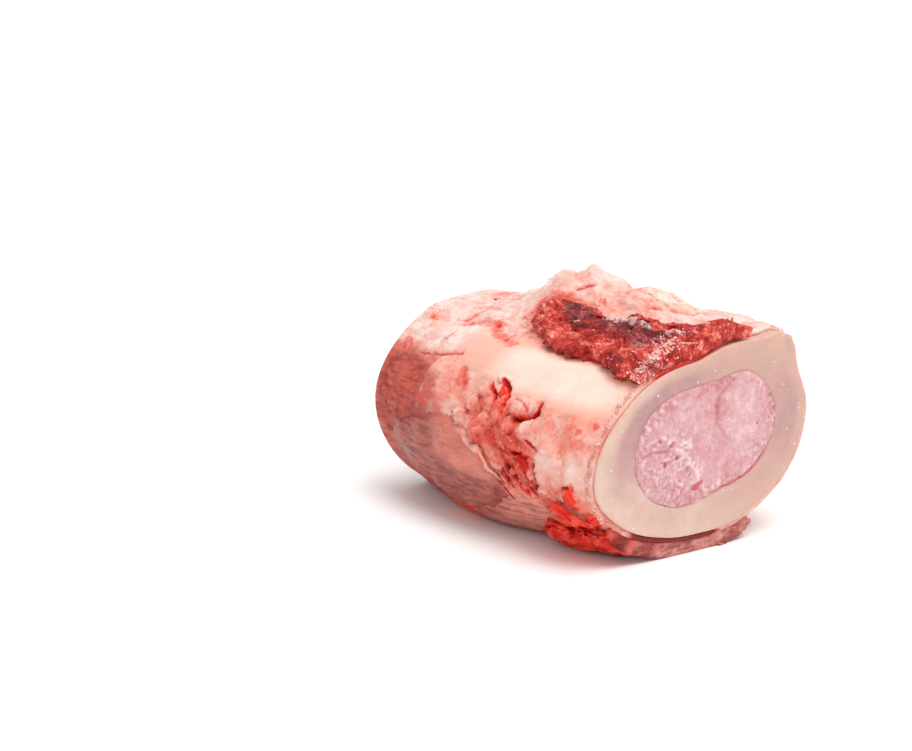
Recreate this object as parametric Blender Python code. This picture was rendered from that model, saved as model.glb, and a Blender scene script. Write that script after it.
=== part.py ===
"""A raw beef shank bone with its scraps of meat, lying on its side, in metres with +Z up.

The bone is a sawn length of shank. Its axis runs along X, at BONE_HEIGHT above the surface that
it lies on, and the sawn face with the oblique cut looks along +X. Each surface round the bone is
a radius about that axis, as a function of the distance behind the front cut and of the angle in
the cross-section. Angle 0 is +Y, 90 is straight up and 180 is -Y, the side with the cream ridge.
"""

import math
import random

import bmesh
import bpy
from mathutils import Vector

MM = 0.001

# The sawn length, and how the front cut slants: its normal leans towards -Y.
CUT_LENGTH = 84.0
FRONT_X = 40.026
FRONT_SLANT = math.radians(7.0)
BONE_HEIGHT = 26.0
BONE_Y = -1.386

# Outlines of the sawn faces as (angle in degrees, radius in mm). The front one is the triangular
# section of a shin bone with its sharp crest at 41 degrees. The back one is nearer to an oval.
FRONT_BONE = (
    (8, 32.4), (25, 31.5), (41, 33.3), (52, 27.3), (73, 21.8), (100, 18.3), (149, 23.3),
    (192, 31.4), (213, 28.6), (240, 23.9), (270, 21.9), (315, 25.0), (345, 30.3),
)
FRONT_MARROW = (
    (17, 21.6), (50, 17.9), (75, 13.4), (109, 12.6), (160, 17.6),
    (194, 19.6), (225, 17.6), (270, 13.2), (298, 13.2), (345, 19.5),
)
BACK_BONE = (
    (0, 27.5), (48, 25.5), (90, 21.0), (140, 23.0), (180, 27.0), (225, 24.5), (270, 21.5), (315, 24.0),
)
BACK_MARROW = (
    (0, 17.5), (45, 17.0), (90, 13.0), (140, 14.5), (180, 17.5), (225, 15.5), (270, 12.5), (315, 14.5),
)

# The cover of fat and sinew: a thin skin with swellings. Each swelling is the distance behind the
# front cut, the angle, the half-length in mm, the half-width in degrees and the height in mm.
SKIN = 1.4
THINNEST = 0.7
SWELLINGS = {
    "hump": (44.0, 84.0, 12.0, 27.0, 10.0),
    "tendon_ridge": (30.0, 62.0, 9.0, 16.0, 3.2),
    "far_side": (46.0, 15.0, 30.0, 36.0, 4.0),
    "cream_ridge": (34.0, 146.0, 30.0, 13.0, 3.0),
    "near_side": (56.0, 190.0, 30.0, 34.0, 2.0),
    "near_foot": (45.0, 229.0, 32.0, 24.0, 6.5),
    "far_foot": (50.0, 315.0, 34.0, 30.0, 4.0),
    "sole": (60.0, 268.0, 26.0, 30.0, 5.2),
}

# The cover thins towards the front cut, and stops short of it on the far side.
CUT_THINNING = 0.45
CUT_REACH = 9.0
FRONT_TRIM = 0.5
FAR_TRIM = 3.5
FAR_TRIM_ANGLE = 35.0
FAR_TRIM_WIDTH = 42.0
BACK_TRIM = 0.8

# Lumps of fat on the cover: the span behind the front cut, the span of angles, how many, the
# mean half-size and the mean height in mm. Each lump's own size and height are these means times
# a draw between the two shares. LUMP_RADIUS turns degrees into mm.
LUMP_ZONES = {
    "torn_fat": (14.0, 42.0, 156.0, 190.0, 30, 4.0, 2.0),
    "fat_by_the_ring": (4.0, 20.0, 160.0, 205.0, 16, 4.0, 1.1),
    "rear_top": (52.0, 80.0, 96.0, 142.0, 20, 4.5, 1.3),
    "hump_top": (38.0, 60.0, 50.0, 92.0, 18, 4.5, 1.7),
    "far_side": (10.0, 76.0, -58.0, 44.0, 42, 5.0, 1.5),
    "rear_side": (58.0, 80.0, 150.0, 178.0, 12, 4.5, 1.1),
}
LUMP_SIZES = (0.75, 1.3)
LUMP_HEIGHTS = (0.5, 1.4)
LUMP_RADIUS = 30.0
LUMP_SEED = 7

# Scraps that lie on the cover: the middle as distance behind the front cut and angle, the radius
# that turns mm into degrees, the thickness at the middle and at the rim, how many facets go
# round, and the outline as (turn, reach in mm). Turn 0 points to the back cut, 90 to greater angles.
SCRAPS = {
    "top_muscle": (16.0, 108.0, 25.0, 3.6, 1.3, 60, (
        (0, 28.5), (12, 26.0), (27, 20.5), (49, 16.3), (80, 11.8), (104, 12.0), (139, 21.5), (180, 20.0),
        (222, 28.0), (233, 26.5), (244, 15.5), (262, 11.8), (306, 12.5), (335, 13.5), (350, 21.0),
    )),
    "lower_muscle": (6.0, 254.0, 29.0, 3.2, 1.8, 40, (
        (0, 13.0), (40, 14.5), (70, 22.5), (100, 26.5), (125, 25.0), (180, 11.0),
        (235, 20.0), (258, 20.5), (285, 20.0), (308, 24.5), (335, 15.5),
    )),
    "sinew_sheet": (54.0, 199.0, 32.0, 1.1, 0.5, 32, (
        (0, 24.0), (30, 14.5), (65, 11.0), (110, 12.0), (150, 18.5), (176, 25.5),
        (200, 18.0), (230, 12.5), (262, 12.5), (300, 12.0), (335, 18.0),
    )),
    "tendon": (28.0, 57.0, 30.0, 1.5, 0.6, 24, (
        (0, 11.0), (35, 7.5), (90, 4.4), (145, 6.5), (180, 9.0), (215, 7.0), (270, 4.6), (325, 7.0),
    )),
}
SCRAP_GAP = 0.55

# The cover has no lumps out to this share of a scrap's reach, and all of them a blend further.
BARE_SHARE = 1.05
BARE_BLEND = 0.25

# The upper side of a scrap is wavy: the share of its thickness, and the waves as radians for each
# mm along the bone and for each degree round it.
WAVE_SHARE = 0.24
WAVE_ALONG = 0.55
WAVE_ROUND = 0.17

# Facets: how many go round the bone, and the rows along the outer and the inner surfaces. The
# rows of a scrap lie at shares of its reach.
AROUND = 64
OUTER_ROWS = 34
INNER_ROWS = 9
SCRAP_SHARES = (0.0, 0.16, 0.32, 0.48, 0.64, 0.8, 0.92, 1.0)
GAP = 0.4

MERGE_DISTANCE = 0.00001
SHARP_ANGLE = math.radians(50.0)


def ease(t):
    """0 to 1 with no slope at either end."""
    t = min(1.0, max(0.0, t))
    return t * t * (3.0 - 2.0 * t)


def turn_apart(degrees, other):
    """The signed angle from one direction to another, between -180 and 180."""
    return (degrees - other + 180.0) % 360.0 - 180.0


def outline(anchors, degrees):
    """The radius at an angle on the smooth closed curve through the anchors."""
    count = len(anchors)
    degrees = (degrees - anchors[0][0]) % 360.0 + anchors[0][0]
    turns = [(a + 360.0 * lap, r) for lap in (-1, 0, 1, 2) for a, r in anchors]
    for i in range(count, 2 * count):
        if turns[i][0] <= degrees <= turns[i + 1][0]:
            break
    (a0, r0), (a1, r1), (a2, r2), (a3, r3) = turns[i - 1 : i + 3]
    step = a2 - a1
    t = (degrees - a1) / step
    slope1 = (r2 - r0) / (a2 - a0) * step
    slope2 = (r3 - r1) / (a3 - a1) * step
    return (
        (2 * t**3 - 3 * t**2 + 1) * r1
        + (t**3 - 2 * t**2 + t) * slope1
        + (3 * t**2 - 2 * t**3) * r2
        + (t**3 - t**2) * slope2
    )


def along(front, back, behind, degrees):
    """A radius that turns from the front outline into the back one along the bone."""
    share = ease(behind / CUT_LENGTH)
    return (1 - share) * outline(front, degrees) + share * outline(back, degrees)


def marrow_radius(behind, degrees):
    return along(FRONT_MARROW, BACK_MARROW, behind, degrees)


def bone_radius(behind, degrees):
    return along(FRONT_BONE, BACK_BONE, behind, degrees)


def swelling(behind, degrees, spec):
    """The height of one rounded swelling at a place on the cover."""
    centre, angle, half_length, half_width, height = spec
    off = turn_apart(degrees, angle)
    return height * math.exp(-(((behind - centre) / half_length) ** 2) - (off / half_width) ** 2)


def scatter_lumps():
    """Places the lumps at random in their zones, as (behind, degrees, half-size, height)."""
    lumps = []
    for start, end, low, high, count, size, height in LUMP_ZONES.values():
        for _ in range(count):
            lumps.append((
                random.uniform(start, end),
                random.uniform(low, high),
                size * random.uniform(*LUMP_SIZES),
                height * random.uniform(*LUMP_HEIGHTS),
            ))
    return lumps


random.seed(LUMP_SEED)
LUMPS = scatter_lumps()


def scrap_share(scrap, behind, degrees):
    """How far out a place is on a scrap: 0 at its middle and 1 on its outline."""
    centre, angle, radius, _, _, _, edge = scrap
    back = behind - centre
    across = math.radians(turn_apart(degrees, angle)) * radius
    turn = math.degrees(math.atan2(across, back))
    return math.hypot(back, across) / outline(edge, turn)


def lump_height(behind, degrees):
    """The highest lump at a place on the cover, down to nothing under the scraps."""
    highest = 0.0
    for centre, angle, size, height in LUMPS:
        across = math.radians(turn_apart(degrees, angle)) * LUMP_RADIUS
        near = 1.0 - ((behind - centre) ** 2 + across**2) / size**2
        if near > 0.0:
            highest = max(highest, height * near**2)
    for scrap in SCRAPS.values():
        highest *= ease((scrap_share(scrap, behind, degrees) - BARE_SHARE) / BARE_BLEND)
    return highest


def cover_start(degrees):
    """How far behind the front cut the cover begins."""
    far = math.exp(-((turn_apart(degrees, FAR_TRIM_ANGLE) / FAR_TRIM_WIDTH) ** 2))
    return FRONT_TRIM + (FAR_TRIM - FRONT_TRIM) * far


def cover_radius(behind, degrees):
    """The outer surface of the fat and sinew."""
    thick = SKIN + sum(swelling(behind, degrees, spec) for spec in SWELLINGS.values())
    fullness = ease(behind / CUT_REACH)
    thick *= CUT_THINNING + (1.0 - CUT_THINNING) * fullness
    thick += lump_height(behind, degrees) * fullness
    return bone_radius(behind, degrees) + GAP + max(THINNEST, thick)


def front_at(y):
    """The X of the slanted front cut at a distance across."""
    return FRONT_X + math.tan(FRONT_SLANT) * (y - BONE_Y)


def place(behind, degrees, radius):
    """The point, in metres, at a distance behind the front cut, an angle and a radius."""
    angle = math.radians(degrees)
    y = BONE_Y + radius * math.cos(angle)
    z = BONE_HEIGHT + radius * math.sin(angle)
    front = front_at(y)
    back = FRONT_X - CUT_LENGTH
    x = front + (back - front) * behind / CUT_LENGTH
    return Vector((x, y, max(z, 0.0))) * MM


def material(name, colour, roughness):
    made = bpy.data.materials.new(name)
    made.use_nodes = True
    shader = made.node_tree.nodes["Principled BSDF"]
    shader.inputs["Base Color"].default_value = (*colour, 1.0)
    shader.inputs["Roughness"].default_value = roughness
    shader.inputs["Metallic"].default_value = 0.0
    made.diffuse_color = (*colour, 1.0)
    return made


def finish(name, bm, finish_material):
    """Turns the bmesh into a named object of triangles that face outwards."""
    bmesh.ops.remove_doubles(bm, verts=bm.verts, dist=MERGE_DISTANCE)
    bmesh.ops.triangulate(bm, faces=bm.faces, quad_method="FIXED")
    bmesh.ops.recalc_face_normals(bm, faces=bm.faces)
    mesh = bpy.data.meshes.new(name)
    bm.to_mesh(mesh)
    bm.free()
    mesh.shade_smooth()
    mesh.set_sharp_from_angle(angle=SHARP_ANGLE)
    mesh.materials.append(finish_material)
    made = bpy.data.objects.new(name, mesh)
    bpy.context.scene.collection.objects.link(made)
    return made


def rows(count):
    """Shares of a length, evenly spaced from 0 to 1."""
    return [i / (count - 1) for i in range(count)]


def folded_grid(around, stops):
    """A grid whose columns go round and whose rows follow the stops. Each stop gives the point
    for an angle in degrees."""
    bm = bmesh.new()
    bmesh.ops.create_grid(bm, x_segments=around, y_segments=len(stops) - 1, size=1.0)
    for v in bm.verts:
        column = round((v.co.x + 1.0) / 2.0 * around)
        row = round((v.co.y + 1.0) / 2.0 * (len(stops) - 1))
        v.co = stops[row](360.0 * (column % around) / around)
    return bm


def ring_at(share, radius, start, end):
    """One stop of a sleeve round the bone, a share of the way from its start to its end."""
    def point(degrees):
        behind = start(degrees) + (end - start(degrees)) * share
        return place(behind, degrees, radius(behind, degrees))
    return point


def at_the_cut(degrees):
    """The start of what reaches the front cut all round."""
    return 0.0


def build_sleeve(name, outer, outer_rows, inner, start, end, finish_material):
    """A closed tube round the bone's axis: down the outside, back up the inside, and round."""
    stops = [ring_at(share, outer, start, end) for share in rows(outer_rows)]
    stops += [ring_at(share, inner, start, end) for share in reversed(rows(INNER_ROWS))]
    return finish(name, folded_grid(AROUND, stops + stops[:1]), finish_material)


def build_marrow(finish_material):
    """The marrow fills the bone from cut to cut."""
    stops = [ring_at(share, marrow_radius, at_the_cut, CUT_LENGTH) for share in rows(INNER_ROWS)]
    bm = folded_grid(AROUND, stops)
    bmesh.ops.remove_doubles(bm, verts=bm.verts, dist=MERGE_DISTANCE)
    bmesh.ops.holes_fill(bm, edges=[e for e in bm.edges if e.is_boundary], sides=0)
    return finish("marrow", bm, finish_material)


def build_bone(finish_material):
    def inner(behind, degrees):
        return marrow_radius(behind, degrees) + GAP

    return build_sleeve("bone", bone_radius, INNER_ROWS, inner, at_the_cut, CUT_LENGTH, finish_material)


def build_cover(finish_material):
    def inner(behind, degrees):
        return bone_radius(behind, degrees) + GAP

    end = CUT_LENGTH - BACK_TRIM
    return build_sleeve("fat_cover", cover_radius, OUTER_ROWS, inner, cover_start, end, finish_material)


def scrap_ring(scrap, share, lift):
    """One stop of a scrap: the loop at a share of its reach, on its under or its upper side."""
    centre, angle, radius, middle, rim, _, edge = scrap

    def point(turn):
        reach = share * outline(edge, turn)
        behind = centre + reach * math.cos(math.radians(turn))
        degrees = angle + math.degrees(reach * math.sin(math.radians(turn)) / radius)
        thick = rim + (middle - rim) * math.sqrt(1.0 - share**2)
        thick *= 1.0 + WAVE_SHARE * math.sin(WAVE_ALONG * behind) * math.cos(WAVE_ROUND * degrees)
        return place(behind, degrees, cover_radius(behind, degrees) + SCRAP_GAP + lift * thick)

    return point


def build_scrap(name, finish_material):
    """A scrap of meat, sinew or tendon that lies on the cover, sawn off flush with it in front."""
    scrap = SCRAPS[name]
    stops = [scrap_ring(scrap, share, 0.0) for share in SCRAP_SHARES]
    stops += [scrap_ring(scrap, share, 1.0) for share in reversed(SCRAP_SHARES)]
    bm = folded_grid(scrap[5], stops)
    bmesh.ops.remove_doubles(bm, verts=bm.verts, dist=MERGE_DISTANCE)
    cut = Vector((front_at(BONE_Y) - FRONT_TRIM, BONE_Y, 0.0)) * MM
    facing = Vector((math.cos(FRONT_SLANT), -math.sin(FRONT_SLANT), 0.0))
    bmesh.ops.bisect_plane(bm, geom=bm.verts[:] + bm.edges[:] + bm.faces[:], plane_co=cut, plane_no=facing,
                           clear_outer=True)
    bmesh.ops.holes_fill(bm, edges=[e for e in bm.edges if e.is_boundary], sides=0)
    return finish(name, bm, finish_material)


def main():
    for old in list(bpy.data.objects):
        bpy.data.objects.remove(old)
    build_bone(material("bone", (0.72, 0.55, 0.45), 0.45))
    build_marrow(material("marrow", (0.83, 0.48, 0.48), 0.55))
    build_cover(material("fat", (0.93, 0.62, 0.52), 0.4))
    muscle = material("muscle", (0.42, 0.06, 0.05), 0.4)
    build_scrap("top_muscle", muscle)
    build_scrap("lower_muscle", muscle)
    build_scrap("sinew_sheet", material("sinew", (0.80, 0.50, 0.44), 0.35))
    build_scrap("tendon", material("tendon", (0.86, 0.68, 0.52), 0.4))


main()
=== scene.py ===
import math
import random

import bmesh
import bpy
from mathutils import Matrix, Vector, noise
from mathutils.bvhtree import BVHTree
from mathutils.kdtree import KDTree


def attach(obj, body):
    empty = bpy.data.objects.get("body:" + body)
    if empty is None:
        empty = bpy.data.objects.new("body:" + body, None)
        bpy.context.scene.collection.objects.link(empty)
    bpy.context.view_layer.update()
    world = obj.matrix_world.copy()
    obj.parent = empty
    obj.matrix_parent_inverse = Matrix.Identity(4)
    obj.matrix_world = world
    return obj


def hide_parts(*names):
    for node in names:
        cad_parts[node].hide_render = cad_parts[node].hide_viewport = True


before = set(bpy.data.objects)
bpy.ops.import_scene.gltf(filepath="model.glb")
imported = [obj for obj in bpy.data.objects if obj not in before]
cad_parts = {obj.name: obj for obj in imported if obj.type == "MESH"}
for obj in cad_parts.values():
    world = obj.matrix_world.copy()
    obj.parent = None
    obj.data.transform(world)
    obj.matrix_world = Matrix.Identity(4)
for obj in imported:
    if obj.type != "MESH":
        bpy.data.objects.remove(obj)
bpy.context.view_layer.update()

MM = 0.001
scene = bpy.context.scene

# The camera stands in front of the sawn face and to its left, a little above the bone.
# The view transform is the plain one, so that the table comes out white.
scene.view_settings.view_transform = "Standard"
camera_lens = bpy.data.cameras.new("camera")
camera_lens.lens = 55.263
camera = bpy.data.objects.new("camera", camera_lens)
camera.location = (0.236296, -0.238626, 0.108)
camera.rotation_euler = (math.radians(77.5), 0, math.radians(50))
scene.collection.objects.link(camera)
scene.camera = camera

# The lamp is one wide soft light, high up on the sawn face's side. White walls all round fill the
# shade, and look a little brighter than the light that they give.
LAMP_STRENGTH = 2
LAMP_SPREAD = math.radians(40)
LAMP_HEIGHT = 72
LAMP_AZIMUTH = 5
WALL_LIGHT = 0.74
WALL_LOOK = 1.2


class Wire:
    """A socket among a material's nodes. Sums on it add Math nodes, and add() any other node."""

    def __init__(self, tree, socket=None):
        self.tree = tree
        self.socket = socket

    def add(self, kind, settings=None, inputs=None, output=0):
        """A new node: its settings come first, then the values or the links of its sockets."""
        node = self.tree.nodes.new(kind)
        for name, value in (settings or {}).items():
            if name == "stops":
                row = node.color_ramp.elements
                while len(row) < len(value):
                    row.new(1)
                for stop, (height, shade) in zip(row, value):
                    stop.position = height
                    stop.color = shade
            else:
                setattr(node, name, value)
        for name, value in (inputs or {}).items():
            if isinstance(value, Wire):
                self.tree.links.new(value.socket, node.inputs[name])
            else:
                node.inputs[name].default_value = value
        return Wire(self.tree, node.outputs[output])

    def sum(self, operation, first, second):
        return self.add("ShaderNodeMath", {"operation": operation}, {0: first, 1: second})

    def __add__(self, other):
        return self.sum("ADD", self, other)

    def __sub__(self, other):
        return self.sum("SUBTRACT", self, other)

    def __rsub__(self, other):
        return self.sum("SUBTRACT", other, self)

    def __mul__(self, other):
        return self.sum("MULTIPLY", self, other)

    __radd__ = __add__
    __rmul__ = __mul__

    def rise(self, low, high):
        """0 below low and 1 above high, with no slope at either."""
        return self.add("ShaderNodeMapRange", {"interpolation_type": "SMOOTHSTEP"},
                        {"Value": self, "From Min": low, "From Max": high})

    def mix(self, first, second):
        """The first colour where this is 0 and the second where it is 1."""
        return self.add("ShaderNodeMix", {"data_type": "RGBA"}, {0: self, 6: first, 7: second}, 2)

    def shade(self, *stops):
        """The colour at this height in a row of (height, colour)."""
        return self.add("ShaderNodeValToRGB", {"stops": stops}, {0: self})


lamp_light = bpy.data.lights.new("lamp", "SUN")
lamp_light.energy = LAMP_STRENGTH
lamp_light.angle = LAMP_SPREAD
lamp = bpy.data.objects.new("lamp", lamp_light)
lamp.rotation_euler = (math.radians(90 - LAMP_HEIGHT), 0, math.radians(LAMP_AZIMUTH + 90))
scene.collection.objects.link(lamp)

walls = bpy.data.worlds.new("walls")
walls.use_nodes = True
scene.world = walls
wall_shader = walls.node_tree.nodes["Background"]
wall_shader.inputs["Color"].default_value = (1, 1, 1, 1)
seen = Wire(walls.node_tree).add("ShaderNodeLightPath", output="Is Camera Ray")
wall_strength = seen * (WALL_LOOK - WALL_LIGHT) + WALL_LIGHT
walls.node_tree.links.new(wall_strength.socket, wall_shader.inputs["Strength"])

# The table: a plain white top that the bone lies on, matt, with a mottle so faint that it looks
# even.
TABLE_HALF = 4
TABLE_DROP = 0.00005


def colour(red, green, blue):
    """A colour as a paint chart gives it, from 0 to 255, in the light's own measure."""
    return tuple(((c / 255 + 0.055) / 1.055) ** 2.4 for c in (red, green, blue)) + (1,)


def make_finish(name, constants, dress):
    """A material: constants go on the shader's sockets, and dress() gives what varies over it."""
    made = bpy.data.materials.new(name)
    made.use_nodes = True
    shader = made.node_tree.nodes["Principled BSDF"]
    for socket, value in constants.items():
        shader.inputs[socket].default_value = value
    for socket, wire in dress(Wire(made.node_tree)).items():
        made.node_tree.links.new(wire.socket, shader.inputs[socket])
    return made


def soft(share, spread, depth, rest):
    """Constants for flesh that light sinks into: how much, how far by colour, and how deep in mm."""
    return {"Subsurface Weight": share, "Subsurface Radius": spread, "Subsurface Scale": depth * MM, **rest}


def clouds(start, size, detail=3, roughness=0.55, stretch=(1, 1, 1), shift=0, twist=0):
    """Cloudy noise on the piece's own coordinates, with patches of about this size in mm."""
    here = start.add("ShaderNodeTexCoord", output="Object")
    here = start.add("ShaderNodeMapping", None,
                     {"Vector": here, "Scale": stretch, "Location": (shift, shift, shift)})
    return start.add("ShaderNodeTexNoise", None,
                     {"Vector": here, "Scale": 1 / (size * MM), "Detail": detail, "Roughness": roughness,
                      "Distortion": twist})


def cells(start, size, output="Distance"):
    """Grains of about this size in mm: how far from a grain's middle, or one shade for each grain."""
    here = start.add("ShaderNodeTexCoord", output="Object")
    return start.add("ShaderNodeTexVoronoi", None, {"Vector": here, "Scale": 1 / (size * MM)}, output)


def threads(start, size, width, stretch=(1, 1, 1), shift=0, twist=1.5):
    """Thin winding lines, 1 on a line and 0 off it, about this size in mm apart."""
    wave = clouds(start, size, 2, 0.5, stretch, shift, twist) - 0.5
    return 1 - wave.add("ShaderNodeMath", {"operation": "ABSOLUTE"}, {0: wave}).rise(0, width)


def bumps(start, height, depth):
    """The normal that a height in mm times this depth gives."""
    return start.add("ShaderNodeBump", None, {"Strength": 1, "Distance": depth * MM, "Height": height})


def dress_table(start):
    mottle = clouds(start, 60)
    return {"Base Color": mottle.mix(colour(250, 249, 248), colour(252, 251, 250))}


table_bm = bmesh.new()
bmesh.ops.create_grid(table_bm, x_segments=1, y_segments=1, size=TABLE_HALF)
bmesh.ops.translate(table_bm, verts=table_bm.verts, vec=(0, 0, -TABLE_DROP))
table_mesh = bpy.data.meshes.new("table")
table_bm.to_mesh(table_mesh)
table_mesh.materials.append(make_finish("table", {"Roughness": 0.7}, dress_table))
table = bpy.data.objects.new("table", table_mesh)
scene.collection.objects.link(table)

# The bone: a length of beef shin, sawn through at both ends. The sawn ring is dense bone, cream
# outside and grey-mauve towards the marrow, with a few frozen specks painted near white as glints.
AXIS_Y = -1.386
AXIS_Z = 26
FRONT_X = 40.026
FRONT_SLANT = math.radians(7)
CUT_LENGTH = 84
MERGE = 0.01 * MM
RING_CUTS = 8
RIM_BEVEL = 0.3 * MM
SAW_WAVES = 0.12 * MM
WELL_OUTSIDE = 80 * MM
END_ON = 0.9  # a face whose normal points at least this much along the bone is sawn
# Places round the wall, in degrees: two grey stains, and the middle of the tan side.
GREY_LEFT = 140
GREY_RIGHT = 6
TAN_SIDE = 30


def place_of(co):
    """How far behind the front cut a point lies, in mm, and its angle round the bone in degrees."""
    y = co.y / MM - AXIS_Y
    front = FRONT_X + math.tan(FRONT_SLANT) * y
    behind = (front - co.x / MM) / (front - FRONT_X + CUT_LENGTH) * CUT_LENGTH
    return behind, math.degrees(math.atan2(co.z / MM - AXIS_Z, y)) % 360


def turn_apart(degrees, other):
    return (degrees - other + 180) % 360 - 180


def ease(low, high, value):
    """0 below low and 1 above high, with no slope at either."""
    t = min(1, max(0, (value - low) / (high - low)))
    return t * t * (3 - 2 * t)


def fall(low, high, value):
    """1 below low and 0 above high, with no slope at either."""
    return 1 - ease(low, high, value)


def near_angle(degrees, middle, low, high):
    """1 within low degrees of an angle and 0 beyond high degrees of it."""
    return fall(low, high, abs(turn_apart(degrees, middle)))


def outward(co):
    """The direction away from the bone's axis."""
    return Vector((0, co.y - AXIS_Y * MM, co.z - AXIS_Z * MM)).normalized()


def merged_copy(node):
    """A frame solid as a bmesh whose loose triangles are joined up."""
    bm = bmesh.new()
    bm.from_mesh(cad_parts[node].data)
    bmesh.ops.remove_doubles(bm, verts=bm.verts, dist=MERGE)
    bm.normal_update()
    return bm


def refine(bm, faces, cuts):
    """Cuts these faces finer, and leaves the whole mesh as triangles."""
    edges = list(dict.fromkeys(e for f in faces for e in f.edges))
    bmesh.ops.subdivide_edges(bm, edges=edges, cuts=cuts, use_grid_fill=True)
    bmesh.ops.triangulate(bm, faces=bm.faces)
    bm.normal_update()


def layers(bm, *names):
    """Attributes on the points, all made before one is used, because a new one unsettles the rest."""
    for name in names:
        bm.verts.layers.float.new(name)
    return [bm.verts.layers.float[name] for name in names]


def move_points(moves):
    """Moves points once all their moves are known, and keeps them above the table."""
    for v, move in moves:
        v.co += move
        v.co.z = max(v.co.z, 0)


def settle(name, bm, finish, slot, *nodes):
    """Makes the piece, rides it on the one body, and hides the frame solids that it stands for. Its slot is
    not used.
    """
    mesh = bpy.data.meshes.new(name)
    bm.to_mesh(mesh)
    bm.free()
    mesh.shade_smooth()
    mesh.materials.append(finish)
    piece = bpy.data.objects.new(name, mesh)
    scene.collection.objects.link(piece)
    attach(piece, "root")
    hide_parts(*nodes)
    return piece


def attribute(start, name):
    return start.add("ShaderNodeAttribute", {"attribute_name": name}, None, "Fac")


marrow_shape = merged_copy("marrow")
marrow_tree = BVHTree.FromBMesh(marrow_shape)
bone_shape = merged_copy("bone")
bone_tree = BVHTree.FromBMesh(bone_shape)


def axis_point(x):
    return Vector((x, AXIS_Y * MM, AXIS_Z * MM))


def surface_radius(tree, co):
    """How far from the axis a surface lies, on the line from the axis through a point."""
    away = outward(co)
    middle = axis_point(co.x)
    point = tree.ray_cast(middle + away * WELL_OUTSIDE, -away, WELL_OUTSIDE)[0]
    return (point - middle).length if point else 0


def behind_cut(co):
    """A point moved off the saw cut that is nearer, into the length of the bone."""
    return Vector((co.x - math.copysign(1 * MM, co.x), co.y, co.z))


bone_bm = bone_shape.copy()
rims = [e for e in bone_bm.edges if abs(e.link_faces[0].normal.x - e.link_faces[1].normal.x) > 0.6]
bmesh.ops.bevel(bone_bm, geom=rims, offset=RIM_BEVEL, offset_type="OFFSET", segments=2, profile=0.5,
                affect="EDGES", material=-1)
bone_bm.normal_update()
refine(bone_bm, [f for f in bone_bm.faces if abs(f.normal.x) > END_ON], RING_CUTS)
wall_layer, grey_layer, tan_layer = layers(bone_bm, "wall", "grey", "tan")
for v in bone_bm.verts:
    degrees = place_of(v.co)[1]
    inner = surface_radius(marrow_tree, behind_cut(v.co))
    outer = surface_radius(bone_tree, behind_cut(v.co))
    radius = (v.co - axis_point(v.co.x)).length
    depth = min(1, max(0, (radius - inner) / max(outer - inner, MM)))
    upper_left = near_angle(degrees, GREY_LEFT, 25, 75)
    right = near_angle(degrees, GREY_RIGHT, 12, 40)
    v[wall_layer] = depth
    v[grey_layer] = max(fall(0.3, 1, depth) * (0.3 + 0.7 * upper_left),
                        0.7 * right * fall(0.15, 0.6, abs(depth - 0.4)))
    v[tan_layer] = near_angle(degrees, TAN_SIDE, 60, 140)
    v.co += v.normal * noise.noise(v.co / (6 * MM)) * SAW_WAVES


def dress_bone(start):
    wall = attribute(start, "wall")
    grey = attribute(start, "grey")
    patches = clouds(start, 6, 3)
    pores = clouds(start, 0.7, 3, 0.7)
    cream = patches.rise(0.3, 0.7).mix(colour(230, 198, 184), colour(220, 192, 170))
    tan = patches.rise(0.3, 0.7).mix(colour(208, 166, 154), colour(216, 178, 158))
    base = attribute(start, "tan").mix(cream, tan)
    stain = clouds(start, 4, 3, shift=3).rise(0.3, 0.7)
    stain = stain.mix(colour(184, 140, 140), colour(200, 154, 148))
    base = (grey + (patches - 0.5) * 0.6).rise(0, 0.95).mix(base, stain)
    base = ((1 - wall).rise(0.88, 0.99) * 0.8).mix(base, colour(206, 134, 138))
    outer_edge = wall.rise(0.95, 1) * clouds(start, 2).rise(0.4, 0.6)
    base = (outer_edge * 0.8).mix(base, colour(238, 170, 156))
    # Frozen specks: frost on the bone, painted near white and shiny as glints.
    frost_speck_glint = 1 - cells(start, 2.2).rise(0.10, 0.17)
    frost_speck_glint = frost_speck_glint * clouds(start, 7, 1, shift=7).rise(0.46, 0.56)
    base = (frost_speck_glint * 0.8).mix(base, colour(255, 244, 236))
    base = ((pores - 0.5) * 0.5 + 0.14).mix(base, colour(180, 128, 122))
    return {
        "Base Color": base,
        "Roughness": 0.5 - pores * 0.14 - frost_speck_glint * 0.2,
        "Normal": bumps(start, pores * 0.4 + clouds(start, 3) + frost_speck_glint, 0.16),
    }


settle("bone_ring", bone_bm, make_finish(
    "sawn_bone",
    soft(0.35, (1, 0.55, 0.4), 2, {"Coat Weight": 0.12, "Coat Roughness": 0.25}),
    dress_bone), "bone", "bone")

# The marrow: soft pink fat that fills the bone. The saw tears it into grains, it stands off the
# bone in crumbs along its edge, and a round lobe on the far side is split off by a crack.
MARROW_SWELL = 0.42 * MM
MARROW_SPLIT_CUTS = 3
MARROW_RINGS = 34
# Marks on the sawn marrow, as paths of points across and up from the table's middle line, in mm.
MARROW_CRACK = ((6.6, 38.9), (3.6, 36), (2.4, 33), (2.6, 29.5), (5.2, 25.5))
MARROW_RIDGE = ((-10.6, 25.8), (-7, 23.4), (-4.7, 20.3), (-2.2, 16.5), (-0.2, 13.2))
MARROW_FISSURE = ((-19, 24.4), (-15.5, 25.2), (-12.2, 24.9))
# Its crumbly patch and its lobe, across and up, and its lowest edge in degrees.
MARROW_CRUMBLE = (-12, 21)
MARROW_LOBE = (10.5, 33)
MARROW_LOW_EDGE = 312
# Red specks: across, up and radius.
MARROW_SPOTS = (
    (-12.4, 22.2, 1), (-3.4, 15.2, 1.3), (-2.4, 16.6, 0.9), (-14, 27.5, 0.5), (-10.8, 26, 0.8),
    (14.5, 27.8, 0.3), (-15.6, 19, 0.5), (-9, 23, 0.5), (-16.5, 23.5, 0.5),
)


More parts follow.
